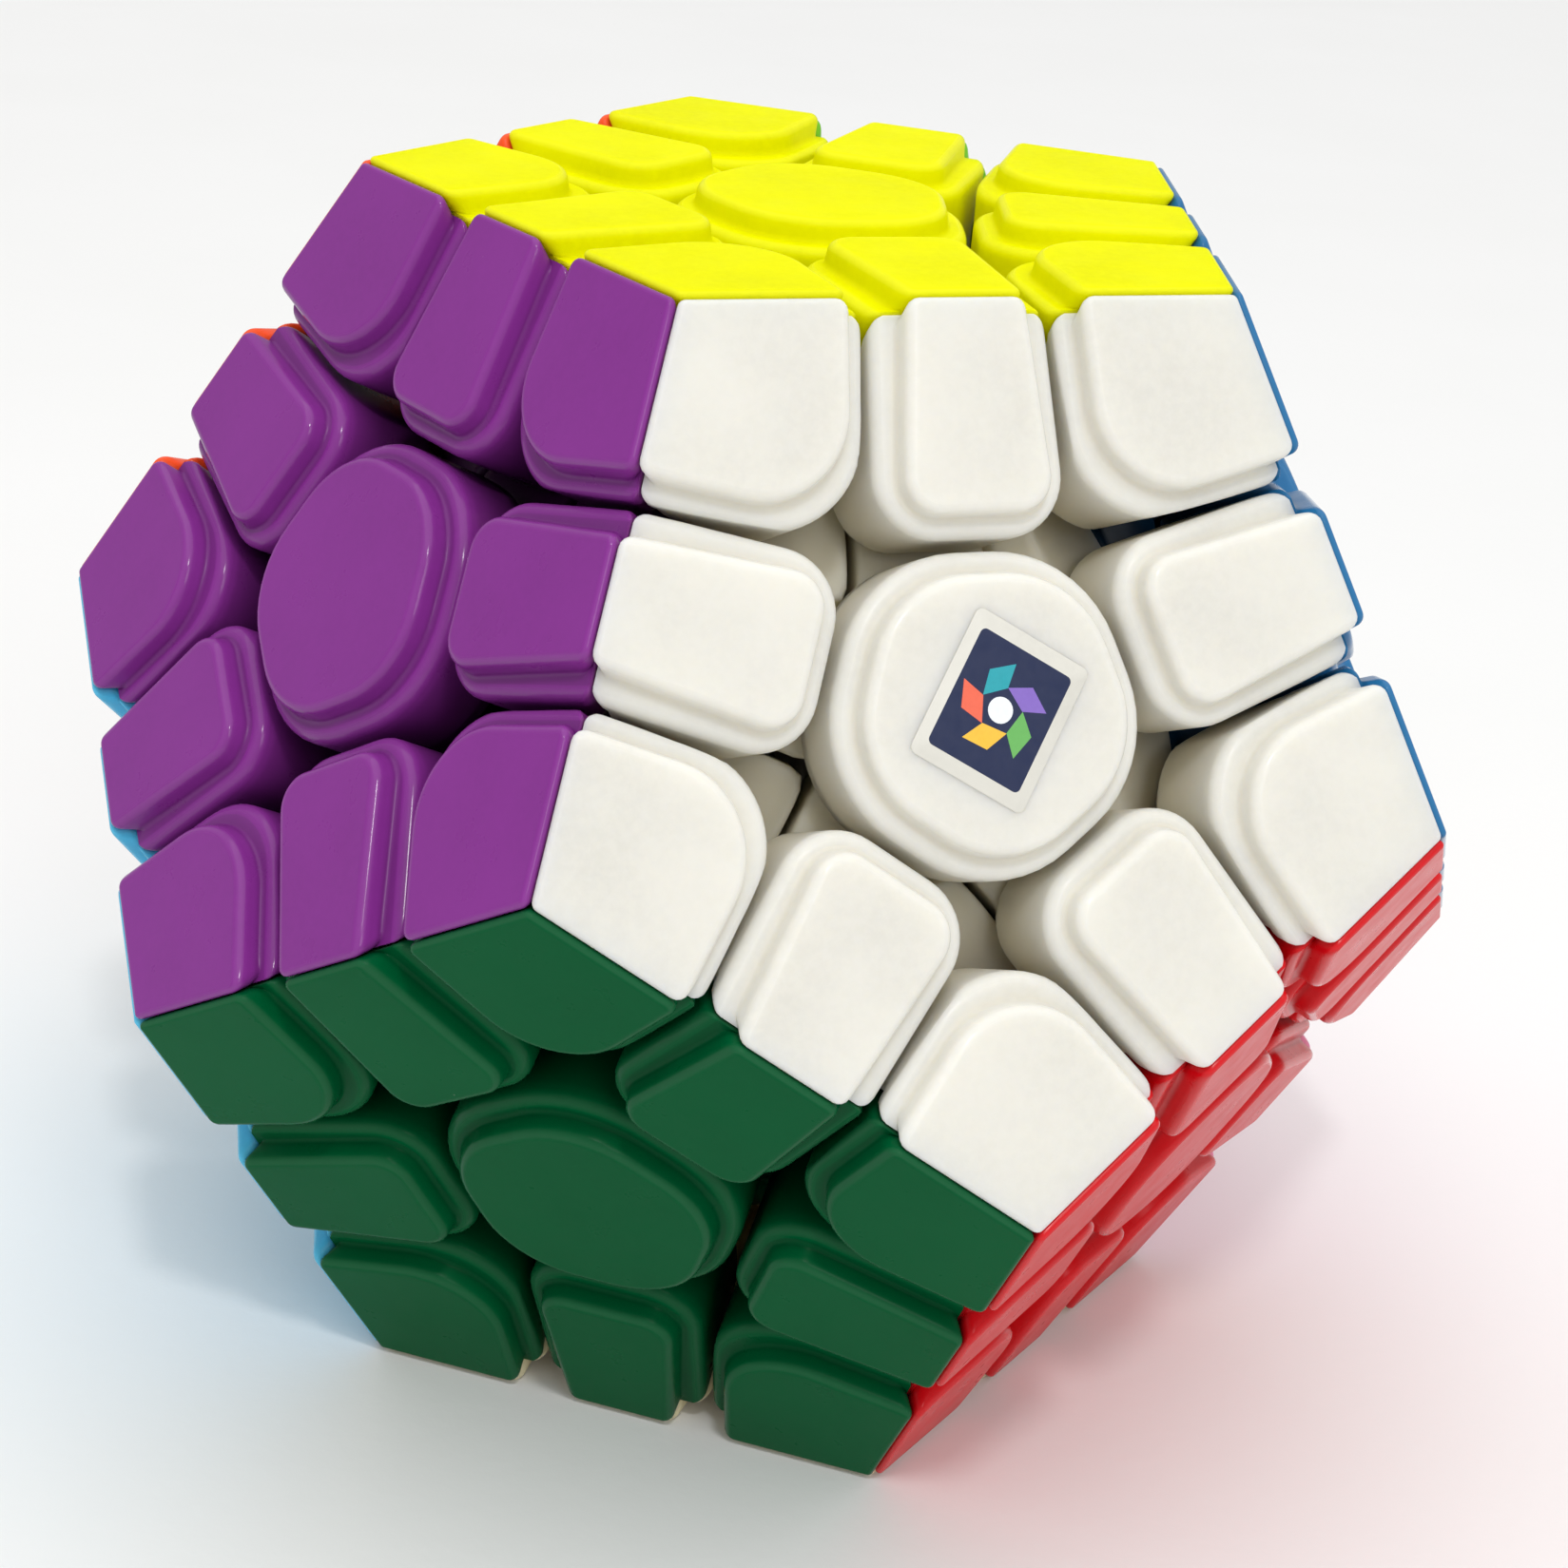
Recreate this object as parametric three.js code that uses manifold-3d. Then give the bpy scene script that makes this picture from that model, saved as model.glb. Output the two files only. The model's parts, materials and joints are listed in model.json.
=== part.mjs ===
// Dodecahedron twisty puzzle: twelve face layers on a twelve-armed core.
// Millimetres, +Z up, origin at the middle of the core. The beige face is underneath.
import * as THREE from "three";
import { mergeVertices } from "three/addons/utils/BufferGeometryUtils.js";
import Module from "manifold-3d";

const wasm = await Module();
wasm.setup();

// ---- driving dimensions -------------------------------------------------
const EDGE = 30; // edge of the dodecahedron
const GOLD = (1 + Math.sqrt(5)) / 2;
const FACE_R = (EDGE * GOLD * GOLD) / (2 * Math.sqrt(3 - GOLD)); // core to face plane
const WHITE_AZ = -90; // where the white face looks, degrees round Z
const STEP = 1.3; // how far the raised facelet stands above its ledge
const GAP = 0.44; // between two pieces that pass each other
const CUT_BASE = 9.2; // each layer is everything above z = CUT_BASE + r * CUT_RISE
const CUT_RISE = 0.5; // so the cut runs along the next face's axis
const FOOT_DEG = 51; // the feet reach out to this cone about each face axis
const FOOT_TOP = 27; // radius of the top of the feet
const FOOT_LOW = 20; // radius of the underside of the feet
const TURN_SIDES = 30; // sides of every surface that turns

// facelets: side = from the vertex or the edge's middle, reach = inwards, round = inner corner
const CORNER = { body: [10.0, 5.0, 3.5], top: [8.9, 4.6, 3.5] }; // side, round, lean
const BAND = { body: [4.65, 12.05, 3.2], top: [3.65, 10.9, 1.8] }; // half width, reach, round
const CAP = { body: [7.95, 6.6], top: [6.75, 5.4] }; // inradius, round

const STEM = { low: 17.3, low_r: 3.5, high: 27.5, high_r: 5.7 }; // a centre's tapered stem
const FOOT_GAP = 0.7; // between the top of a foot and the piece above it
const WELL = { low: 20.6, high: 30.0, r: 3.0 }; // room for spring and screw head
const BORE_R = 1.8; // hole for the screw in the stem
const POST = { r: 3.0, high: 17.0 }; // arm of the core
const CORE_BALL = 11.5;
const SCREW = { r: 1.35, head_r: 2.4, head_low: 27.0, head_high: 28.9 };
const LABEL = { size: [6.6, 8.0], thick: 0.12, lift: 0.03, turn: -32 }; // on the white centre

// ---- the twelve faces ---------------------------------------------------
const FACES = ["yellow", "white", "blue", "lime", "orange", "purple", "red", "pink", "grey",
  "lightblue", "green", "beige"];
const COLOURS = { yellow: 0xf4f000, white: 0xf0eee6, blue: 0x2e6e9e, lime: 0x7cc62f,
  orange: 0xf0502a, purple: 0x8c3c91, red: 0xd0101a, pink: 0xf29ab8, grey: 0x85888c,
  lightblue: 0x4fb8dd, green: 0x0f5a2d, beige: 0xe8d9b0 };
const rad = (d) => (d * Math.PI) / 180;
const normals = FACES.map((_, i) => {
  if (i === 0) return new THREE.Vector3(0, 0, 1);
  if (i === 11) return new THREE.Vector3(0, 0, -1);
  const upper = i <= 5;
  const az = rad(WHITE_AZ + (upper ? 72 * (i - 1) : 36 + 72 * (i - 6)));
  const el = Math.atan(0.5) * (upper ? 1 : -1);
  return new THREE.Vector3(Math.cos(el) * Math.cos(az), Math.cos(el) * Math.sin(az), Math.sin(el));
});
const beside = (i, j) => Math.abs(normals[i].dot(normals[j]) - 1 / Math.sqrt(5)) < 1e-6;
const meet = (list) => {
  const [a, b, c] = list.map((i) => normals[i]);
  const det = a.dot(b.clone().cross(c));
  return b.clone().cross(c).add(c.clone().cross(a)).add(a.clone().cross(b))
    .multiplyScalar(FACE_R / det);
};

// ---- solids -------------------------------------------------------------
function solid(positions, index) {
  const g = new THREE.BufferGeometry();
  g.setAttribute("position", new THREE.Float32BufferAttribute(positions, 3));
  if (index) g.setIndex(index);
  return fromGeometry(g);
}

function fromGeometry(geometry) {
  const g = geometry.clone();
  g.deleteAttribute("normal");
  g.deleteAttribute("uv");
  const m = mergeVertices(g, 1e-5);
  const triVerts = new Uint32Array(m.index.array);
  const vertProperties = m.attributes.position.array;
  return new wasm.Manifold(new wasm.Mesh({ numProp: 3, vertProperties, triVerts }));
}

// A convex solid from planes {n, d}: everything with n.x <= d.
function convex(planes) {
  const points = [];
  const inside = (p) => planes.every((q) => q.n.dot(p) <= q.d + 1e-6);
  for (let i = 0; i < planes.length; i++)
    for (let j = i + 1; j < planes.length; j++)
      for (let k = j + 1; k < planes.length; k++) {
        const [a, b, c] = [planes[i], planes[j], planes[k]];
        const bc = b.n.clone().cross(c.n);
        const det = a.n.dot(bc);
        if (Math.abs(det) < 1e-7) continue;
        const p = bc.multiplyScalar(a.d)
          .addScaledVector(c.n.clone().cross(a.n), b.d)
          .addScaledVector(a.n.clone().cross(b.n), c.d)
          .multiplyScalar(1 / det);
        if (inside(p) && !points.some((q) => q.distanceTo(p) < 1e-4)) points.push(p);
      }
  const index = [];
  for (const { n, d } of planes) {
    const on = points.map((p, i) => [p, i]).filter(([p]) => Math.abs(n.dot(p) - d) < 1e-4);
    if (on.length < 3) continue;
    const mid = on.reduce((s, [p]) => s.add(p), new THREE.Vector3()).divideScalar(on.length);
    const u = on[0][0].clone().sub(mid).normalize();
    const v = n.clone().cross(u);
    const turn = ([p]) => Math.atan2(p.clone().sub(mid).dot(v), p.clone().sub(mid).dot(u));
    on.sort((a, b) => turn(a) - turn(b));
    for (let k = 1; k + 1 < on.length; k++) index.push(on[0][1], on[k][1], on[k + 1][1]);
  }
  return solid(points.flatMap((p) => [p.x, p.y, p.z]), index);
}

// A solid of revolution about Z from a profile that starts and ends on the axis, upwards.
function revolve(profile, sides = TURN_SIDES, start = 0) {
  const positions = [0, 0, profile[0][1], 0, 0, profile[profile.length - 1][1]];
  const rings = profile.slice(1, -1);
  for (const [r, z] of rings)
    for (let k = 0; k < sides; k++) {
      const a = start + (2 * Math.PI * (k + 0.5)) / sides;
      positions.push(r * Math.cos(a), r * Math.sin(a), z);
    }
  const at = (ring, k) => 2 + ring * sides + (k % sides);
  const index = [];
  for (let k = 0; k < sides; k++) {
    index.push(0, at(0, k + 1), at(0, k), 1, at(rings.length - 1, k), at(rings.length - 1, k + 1));
    for (let r = 0; r + 1 < rings.length; r++)
      index.push(at(r, k), at(r, k + 1), at(r + 1, k + 1), at(r, k), at(r + 1, k + 1), at(r + 1, k));
  }
  return solid(positions, index);
}
const rod = (r, low, high, sides) => revolve([[0, low], [r, low], [r, high], [0, high]], sides);
const ball = (r, detail) => fromGeometry(new THREE.IcosahedronGeometry(r, detail));

// Turn a solid made about +Z on to the axis of face i, with one flat toward a neighbour.
function frameOf(i) {
  const n = normals[i];
  const near = normals.findIndex((_, j) => beside(i, j));
  const x = normals[near].clone().addScaledVector(n, -n.dot(normals[near])).normalize();
  return new THREE.Matrix4().makeBasis(x, n.clone().cross(x), n);
}
const moved = (s, m) => s.transform(m.elements);
const onto = (s, i) => moved(s, frameOf(i));
const union = (list) => wasm.Manifold.union(list);

// ---- the layer of one face: own pieces stay inside `inner`, others outside `outer` ------
const half = GAP / 2;
const shift = half * Math.hypot(1, CUT_RISE);
const cutCone = (lift) =>
  revolve([[0, CUT_BASE + lift], [70, CUT_BASE + lift + 70 * CUT_RISE], [0, 75]]);
const footCone = (lift) =>
  revolve([[0, lift], [60, lift + 60 / Math.tan(rad(FOOT_DEG))], [0, 70]]);
const footShift = half / Math.sin(rad(FOOT_DEG));
const hole = ball(FOOT_LOW, 2);
const innerCut = cutCone(shift);
const innerFoot = footCone(footShift).intersect(ball(FOOT_TOP - FOOT_GAP / 2, 3));
const outer = union([cutCone(-shift), footCone(-footShift).intersect(ball(FOOT_TOP + FOOT_GAP / 2, 3))]);

// ---- facelet outlines as planes -----------------------------------------
// lines: [m, c] = in-plane outward direction and distance from p; rounds = [radius, steps]
function outline(p, lines, round, steps, closed) {
  const planes = [];
  const last = closed ? lines.length : lines.length - 1;
  lines.forEach(([m, c]) => planes.push([m, c]));
  for (let k = 0; k < last; k++) {
    const [m1, c1] = lines[k];
    const [m2, c2] = lines[(k + 1) % lines.length];
    const dot = m1.dot(m2);
    // centre of the arc: m1.x = c1 - round and m2.x = c2 - round
    const a = (c1 - round - dot * (c2 - round)) / (1 - dot * dot);
    const b = (c2 - round - dot * (c1 - round)) / (1 - dot * dot);
    const hub = m1.clone().multiplyScalar(a).addScaledVector(m2, b);
    const angle = Math.acos(dot);
    for (let s = 1; s <= steps; s++) {
      const t = s / (steps + 1);
      const m = m1.clone().multiplyScalar(Math.sin((1 - t) * angle))
        .addScaledVector(m2, Math.sin(t * angle)).divideScalar(Math.sin(angle));
      planes.push([m, m.dot(hub) + round]);
    }
  }
  return planes.map(([m, c]) => ({ n: m, d: c + m.dot(p) }));
}
const under = (i, height) => ({ n: normals[i], d: height });
const low = FACE_R - STEP;
const flatDir = (i, v) => v.clone().addScaledVector(normals[i], -normals[i].dot(v)).normalize();

// ---- the three kinds of piece -------------------------------------------
function makeCorner(faces) {
  const v = meet(faces);
  const part = ([side, round, lean], height, steps) => {
    const all = [];
    faces.forEach((f, k) => {
      const others = [faces[(k + 1) % 3], faces[(k + 2) % 3]];
      const lines = others.map((g, q) => {
        // along the edge shared with g, away from the vertex; leaning in toward the face's middle
        const along = normals[others[1 - q]].clone().negate();
        const e = normals[f].clone().cross(normals[g]).normalize();
        if (e.dot(along) < 0) e.negate();
        const inward = flatDir(f, normals[g]).negate();
        const m = e.multiplyScalar(Math.cos(rad(lean))).addScaledVector(inward, Math.sin(rad(lean)));
        return [m, side * Math.cos(rad(lean))];
      });
      const edge = outline(v, lines, round, steps, false);
      all.push(under(f, height), ...edge);
    });
    return convex(all);
  };
  const out = union([part(CORNER.body, low, 3), part(CORNER.top, FACE_R, 2)]);
  const cut = faces.map((f) => onto(innerCut, f));
  const foot = faces.map((f) => onto(innerFoot, f));
  const shell = cut.reduce((s, c) => s.intersect(c), out).subtract(ball(FOOT_TOP - 1.6, 2));
  const base = foot.slice(1).reduce((s, c) => s.intersect(c), foot[0]).subtract(hole);
  return union([shell, base]);
}

function makeEdge(a, b) {
  const ends = FACES.map((_, i) => i).filter((i) => beside(a, i) && beside(b, i));
  const mid = meet([a, b, ends[0]]).add(meet([a, b, ends[1]])).multiplyScalar(0.5);
  const along = normals[a].clone().cross(normals[b]).normalize();
  const part = ([halfWidth, reach, round], height, steps) => {
    const all = [];
    [[a, b], [b, a]].forEach(([f, g], k) => {
      const inward = flatDir(f, normals[g]).negate();
      const lines = [[along.clone(), halfWidth], [inward, reach],
        [along.clone().negate(), halfWidth]];
      const edge = outline(mid, lines, round, steps, false);
      if (k) edge.splice(0, 1), edge.splice(1, 1); // the side walls are shared by both faces
      all.push(under(f, height), ...edge);
    });
    return convex(all);
  };
  const out = union([part(BAND.body, low, 2), part(BAND.top, FACE_R, 2)]);
  const cut = [a, b].reduce((s, f) => s.intersect(onto(innerCut, f)), out);
  const shell = cut.subtract(ball(FOOT_TOP - 1.6, 2));
  const base = onto(innerFoot, a).intersect(onto(innerFoot, b)).subtract(hole);
  return ends.reduce((s, f) => s.subtract(onto(outer, f)), union([shell, base]));
}

function makeCentre(i) {
  const ring = FACES.map((_, j) => j).filter((j) => beside(i, j));
  const p = normals[i].clone().multiplyScalar(FACE_R);
  const around = ring.map((j) => flatDir(i, normals[j]));
  const u = around[0].clone();
  const v = normals[i].clone().cross(u);
  around.sort((s, t) => turnOf(s, u, v) - turnOf(t, u, v));
  const part = ([inradius, round], height, steps, floor) => {
    const edge = outline(p, around.map((m) => [m, inradius]), round, steps, true);
    return convex([under(i, height), ...edge, { n: normals[i].clone().negate(), d: -floor }]);
  };
  const stem = [[0, STEM.low], [STEM.low_r, STEM.low], [STEM.high_r, STEM.high + 0.3],
    [0, STEM.high + 0.3]];
  return union([part(CAP.body, low, 2, STEM.high), part(CAP.top, FACE_R, 2, low - 1),
    onto(revolve(stem, 15), i)])
    .subtract(onto(rod(WELL.r, WELL.low, WELL.high, 12), i))
    .subtract(onto(rod(BORE_R, STEM.low - 1, WELL.low + 1, 12), i));
}
const turnOf = (s, u, w) => (Math.atan2(s.dot(w), s.dot(u)) + 2 * Math.PI + 1e-6) % (2 * Math.PI);

// ---- copies: one of each kind, turned into every place -------------------
const basis = (a, b) => {
  const x = flatDir(a, normals[b]);
  return new THREE.Matrix4().makeBasis(x, normals[a].clone().cross(x), normals[a]);
};
const turnTo = (a, b, c, d) => basis(c, d).multiply(basis(a, b).invert());
// Three faces round a corner, in one turning sense.
const ordered = ([a, b, c]) =>
  normals[a].dot(normals[b].clone().cross(normals[c])) > 0 ? [a, b, c] : [a, c, b];

const refCorner = ordered([0, 1, 2]);
const corner = makeCorner(refCorner).simplify(0.004);
const refEdge = [0, 1];
const edge = makeEdge(0, 1).simplify(0.004);
const centre = makeCentre(0).simplify(0.004);

function makeCore() {
  const arms = FACES.map((_, i) => onto(union([
    rod(POST.r, 4, POST.high, 8), rod(SCREW.r, 8, SCREW.head_low + 0.3, 6),
    rod(SCREW.head_r, SCREW.head_low, SCREW.head_high, 8)]), i));
  return union([ball(CORE_BALL, 2), ...arms]);
}

// The bridge that makes a beige edge one piece with the centre it rides on.
function bridge(j) {
  const lean = rad(14.6);
  const dir = normals[j].clone().multiplyScalar(Math.cos(lean))
    .addScaledVector(flatDir(j, normals[11]), Math.sin(lean));
  const x = normals[j].clone().cross(dir).normalize();
  const m = new THREE.Matrix4().makeBasis(x, dir.clone().cross(x), dir);
  return moved(rod(1.3, 24.5, 29.2, 10), m);
}

// ---- the named nodes ------------------------------------------------------
const puzzle = new THREE.Group();
puzzle.name = "dodecahedron_puzzle";
function add(name, shape, colour, roughness = 0.42, metalness = 0) {
  const mesh = shape.getMesh();
  const g = new THREE.BufferGeometry();
  g.setAttribute("position", new THREE.Float32BufferAttribute(mesh.vertProperties, 3));
  g.setIndex(Array.from(mesh.triVerts));
  const flat = g.toNonIndexed();
  flat.computeVertexNormals();
  const material = new THREE.MeshStandardMaterial({ color: colour, roughness, metalness });
  const node = new THREE.Mesh(flat, material);
  node.name = name;
  puzzle.add(node);
}
const key = (list) => list.slice().sort((p, q) => p - q).map((i) => FACES[i]).join("_");

add("core", makeCore(), 0xd9d6cc, 0.5);
FACES.forEach((name, i) => {
  const near = normals.findIndex((_, j) => beside(i, j));
  let s = moved(centre, turnTo(0, normals.findIndex((_, j) => beside(0, j)), i, near));
  if (i >= 6 && i <= 10) {
    const e = moved(edge, turnTo(...refEdge, i, 11));
    s = union([s, e, bridge(i)]);
  }
  add("centre_" + name, s, COLOURS[name]);
});
for (let a = 0; a < 12; a++)
  for (let b = a + 1; b < 11; b++)
    if (beside(a, b)) add("edge_" + key([a, b]), moved(edge, turnTo(...refEdge, a, b)),
      COLOURS[FACES[a]]);
for (let a = 0; a < 12; a++)
  for (let b = a + 1; b < 12; b++)
    for (let c = b + 1; c < 12; c++)
      if (beside(a, b) && beside(b, c) && beside(a, c)) {
        const [p, q] = ordered([a, b, c]);
        add("corner_" + key([a, b, c]), moved(corner, turnTo(refCorner[0], refCorner[1], p, q)),
          COLOURS[FACES[a]]);
      }

// Plain oblong label on the white centre.
const spin = new THREE.Quaternion().setFromAxisAngle(normals[1], rad(LABEL.turn));
const up = flatDir(1, normals[0]).applyQuaternion(spin);
const across = normals[1].clone().cross(up);
add("white_label", convex([
  { n: normals[1].clone(), d: FACE_R + LABEL.lift + LABEL.thick },
  { n: normals[1].clone().negate(), d: -(FACE_R + LABEL.lift) },
  ...[up, up.clone().negate()].map((m) => ({ n: m, d: LABEL.size[1] / 2 })),
  ...[across, across.clone().negate()].map((m) => ({ n: m, d: LABEL.size[0] / 2 }))]),
0x2f62a8, 0.35);

export default puzzle;
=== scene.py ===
"""Looks of the dodecahedron twisty puzzle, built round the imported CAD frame.

Lengths in this file are millimetres until a mesh is made; Blender gets metres.
"""
import json
import math

import bpy
import numpy as np
from mathutils import Matrix, Vector


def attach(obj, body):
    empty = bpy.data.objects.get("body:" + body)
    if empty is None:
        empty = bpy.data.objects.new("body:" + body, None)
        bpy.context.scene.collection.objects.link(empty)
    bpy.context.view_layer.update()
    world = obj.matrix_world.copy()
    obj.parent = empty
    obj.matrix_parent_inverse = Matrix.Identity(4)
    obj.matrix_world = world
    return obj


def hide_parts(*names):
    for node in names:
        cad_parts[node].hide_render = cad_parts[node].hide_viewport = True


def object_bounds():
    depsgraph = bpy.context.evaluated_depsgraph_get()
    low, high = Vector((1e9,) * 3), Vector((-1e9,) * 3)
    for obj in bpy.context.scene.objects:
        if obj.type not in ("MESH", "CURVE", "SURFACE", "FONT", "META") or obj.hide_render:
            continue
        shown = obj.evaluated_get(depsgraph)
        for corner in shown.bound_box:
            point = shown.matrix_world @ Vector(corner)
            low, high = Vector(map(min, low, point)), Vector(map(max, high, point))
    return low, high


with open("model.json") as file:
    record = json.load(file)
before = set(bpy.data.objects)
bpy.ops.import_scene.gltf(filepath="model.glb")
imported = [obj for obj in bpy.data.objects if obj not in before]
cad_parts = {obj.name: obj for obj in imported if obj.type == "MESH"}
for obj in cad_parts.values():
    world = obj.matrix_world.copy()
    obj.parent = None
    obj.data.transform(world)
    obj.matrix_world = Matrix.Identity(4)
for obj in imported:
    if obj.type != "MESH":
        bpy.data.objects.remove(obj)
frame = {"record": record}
cad_low, cad_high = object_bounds()
scene = bpy.context.scene
MM = 0.001

# ---- camera, worked out from the vertices of the dodecahedron -------------
PICTURE = 1649
CAMERA_AT = (-57.991, -151.212, 69.855)
CAMERA_LOOK = (0.31908, 0.88039, -0.35086)
CAMERA_UP = (0.04056, 0.35718, 0.93315)
CAMERA_FOCAL = 3134.99  # in pixels of the picture
CAMERA_SHIFT = (0.03, -0.12)


def make_camera():
    data = bpy.data.cameras.new("camera")
    data.sensor_width = 36
    data.lens = CAMERA_FOCAL * data.sensor_width / PICTURE
    data.shift_x, data.shift_y = CAMERA_SHIFT
    data.clip_start, data.clip_end = 0.005, 20
    back = -Vector(CAMERA_LOOK).normalized()
    right = Vector(CAMERA_UP).cross(back).normalized()
    up = back.cross(right)
    camera = bpy.data.objects.new("camera", data)
    turn = Matrix((right, up, back)).transposed().to_4x4()
    camera.matrix_world = Matrix.Translation(Vector(CAMERA_AT) * MM) @ turn
    scene.collection.objects.link(camera)
    scene.camera = camera


make_camera()

# ---- the dodecahedron ------------------------------------------------------
FACES = ["yellow", "white", "blue", "lime", "orange", "purple", "red", "pink", "grey",
         "lightblue", "green", "beige"]
TOP, WHITE, BOTTOM = 0, 1, 11
EDGE = 30.0
GOLD = (1 + math.sqrt(5)) / 2
FACE_R = EDGE * GOLD**2 / (2 * math.sqrt(3 - GOLD))
FACE_IN = EDGE / (2 * math.tan(math.radians(36)))  # face centre to the middle of an edge
FACE_OUT = EDGE / (2 * math.sin(math.radians(36)))  # face centre to a vertex
BEND = math.atan(2)  # angle between the normals of neighbours
MITRE = FACE_IN / FACE_R  # the plane between two colours goes in by this much per mm of depth

CUT_BASE, CUT_RISE = 9.2, 0.5  # a layer's cut is a cone: its height on the axis, and its slope
HALF_GAP = 0.22  # half the gap between layers
FOOT_ANGLE = math.radians(51)
FOOT_LOW, FOOT_HIGH = 20.0, 26.65  # radii of the balls that the feet lie between
UNDER_SHELL = 27.4  # below this radius the feet of the neighbours turn
SEAM = 0.045  # half the hairline between two colours of one piece


def face_normals():
    out = [np.array((0, 0, 1.0))]
    for i in range(1, 11):
        upper = i <= 5
        az = math.radians(-90 + 72 * (i - 1) if upper else -54 + 72 * (i - 6))
        el = math.atan(0.5) * (1 if upper else -1)
        out.append(np.array((math.cos(el) * math.cos(az), math.cos(el) * math.sin(az),
                             math.sin(el))))
    return out + [np.array((0, 0, -1.0))]


NORMALS = face_normals()


def beside(i, j):
    return abs(NORMALS[i] @ NORMALS[j] - 1 / math.sqrt(5)) < 1e-6


def first_beside(i):
    return next(j for j in range(12) if beside(i, j))


def basis(a, b):
    """Columns: toward neighbour b within face a, the third axis, and the normal of a."""
    n = NORMALS[a]
    x = NORMALS[b] - n * (n @ NORMALS[b])
    x /= np.linalg.norm(x)
    return np.column_stack((x, np.cross(n, x), n))


def near(turns):
    """Normal of the neighbour that lies this many fifths of a turn round from +X."""
    a = math.radians(72 * turns)
    return np.array((math.sin(BEND) * math.cos(a), math.sin(BEND) * math.sin(a), math.cos(BEND)))


UP = np.array((0, 0, 1.0))


# ---- where a facelet may go --------------------------------------------------
def layer_room(p, n):
    """How far points are inside the layer of face n, across the cut."""
    z = p @ n
    r = np.sqrt(np.maximum((p * p).sum(-1) - z * z, 0))
    return (z - CUT_BASE - CUT_RISE * r) / math.hypot(1, CUT_RISE)


def foot_room(p, n):
    """How far points are inside the cone that the feet of face n reach to."""
    size = np.sqrt((p * p).sum(-1))
    return size * np.sin(FOOT_ANGLE - np.arccos(np.clip(p @ n / size, -1, 1)))


def mitre_room(p, n):
    """How far points are on the +Z side of the plane between +Z and n."""
    flat = n - UP * (n @ UP)
    flat = flat / np.linalg.norm(flat)
    return p[..., 2] * MITRE - p @ flat - SEAM


def room(p, own, others, mitres):
    least = np.full(p.shape[:-1], 9.0)
    for n in own:
        least = np.minimum(least, layer_room(p, n) - HALF_GAP)
    for n in others:
        least = np.minimum(least, -layer_room(p, n) - HALF_GAP)
        low = (p * p).sum(-1) < UNDER_SHELL**2
        least = np.where(low, np.minimum(least, -foot_room(p, n) - HALF_GAP), least)
    for n in mitres:
        least = np.minimum(least, mitre_room(p, n))
    return least


HALVINGS = 26  # of the interval in which a limit is looked for


def pull_in(p, hub, test):
    """Moves points toward hub until test(point) is not negative."""
    low, high = np.zeros(p.shape[:-1]), np.ones(p.shape[:-1])
    bad = test(p) < 0
    for _ in range(HALVINGS):
        mid = (low + high) / 2
        ok = test(hub + (p - hub) * mid[..., None]) >= 0
        low, high = np.where(ok, mid, low), np.where(ok, high, mid)
    return np.where(bad[..., None], hub + (p - hub) * low[..., None], p)


# ---- outlines ------------------------------------------------------------------
def outline(lines, rounds, arcs, runs):
    """A rounded polygon. lines: (angle of the outward normal, distance), in turning order;
    rounds and arcs: radius and points of the corner after each line; runs: points between."""
    corners = []
    for (a1, c1), (a2, c2), r, k in zip(lines, lines[1:] + lines[:1], rounds, arcs):
        m = np.array(((math.cos(a1), math.sin(a1)), (math.cos(a2), math.sin(a2))))
        hub = np.linalg.solve(m, (c1 - r, c2 - r))
        t = a1 + ((a2 - a1) % (2 * math.pi)) * np.linspace(0, 1, k)
        corners.append(hub + r * np.column_stack((np.cos(t), np.sin(t))))
    points = []
    for i, k in enumerate(runs):
        f = (np.arange(1, k + 1) / (k + 1))[:, None]
        points += [corners[i - 1][-1] * (1 - f) + corners[i][0] * f, corners[i]]
    return np.concatenate(points)


TIP = 0.72  # rounding in plan where a side meets the edge of the dodecahedron
POINT = 0.55  # rounding of the vertex
LEAST = 0.06  # smallest rounding left where an outline shrinks


def corner_outline(side, inner, lean, grow, seam):
    """side: along an edge, from the vertex to the wall across it; inner: rounding of the corner
    next to the centre; lean: degrees that the walls turn outward; grow: moves them outward."""
    lean = math.radians(lean)
    vertex = FACE_OUT * np.array((math.cos(math.radians(36)), math.sin(math.radians(36))))

    def wall(a):
        at = vertex @ (math.cos(a), math.sin(a)) + side * math.cos(lean) + grow
        return a, at

    lines = [(0, FACE_IN - seam), (math.radians(72), FACE_IN - seam),
             wall(math.radians(162) + lean), wall(math.radians(270) - lean)]
    tip = max(LEAST, TIP + grow)
    return outline(lines, [max(LEAST, POINT + grow), tip, inner + grow, tip],
                   [6, 5, 17, 5], [11, 11, 7, 7])


def edge_outline(half, reach, inner, lean, grow, seam):
    """half: half the width along the edge; reach: depth from the edge toward the centre."""
    lean = math.radians(lean)
    side = (half + FACE_IN * math.tan(lean)) * math.cos(lean) + grow
    lines = [(0, FACE_IN - seam), (math.pi / 2 - lean, side), (math.pi, reach - FACE_IN + grow),
             (1.5 * math.pi + lean, side)]
    tip = max(LEAST, TIP + grow)
    return outline(lines, [tip, inner + grow, inner + grow, tip], [5, 11, 11, 5], [9, 9, 6, 9])


def centre_outline(inradius, inner, grow, seam):
    lines = [(math.radians(72 * k), inradius + grow) for k in range(5)]
    return outline(lines, [inner + grow] * 5, [10] * 5, [5] * 5)


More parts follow.
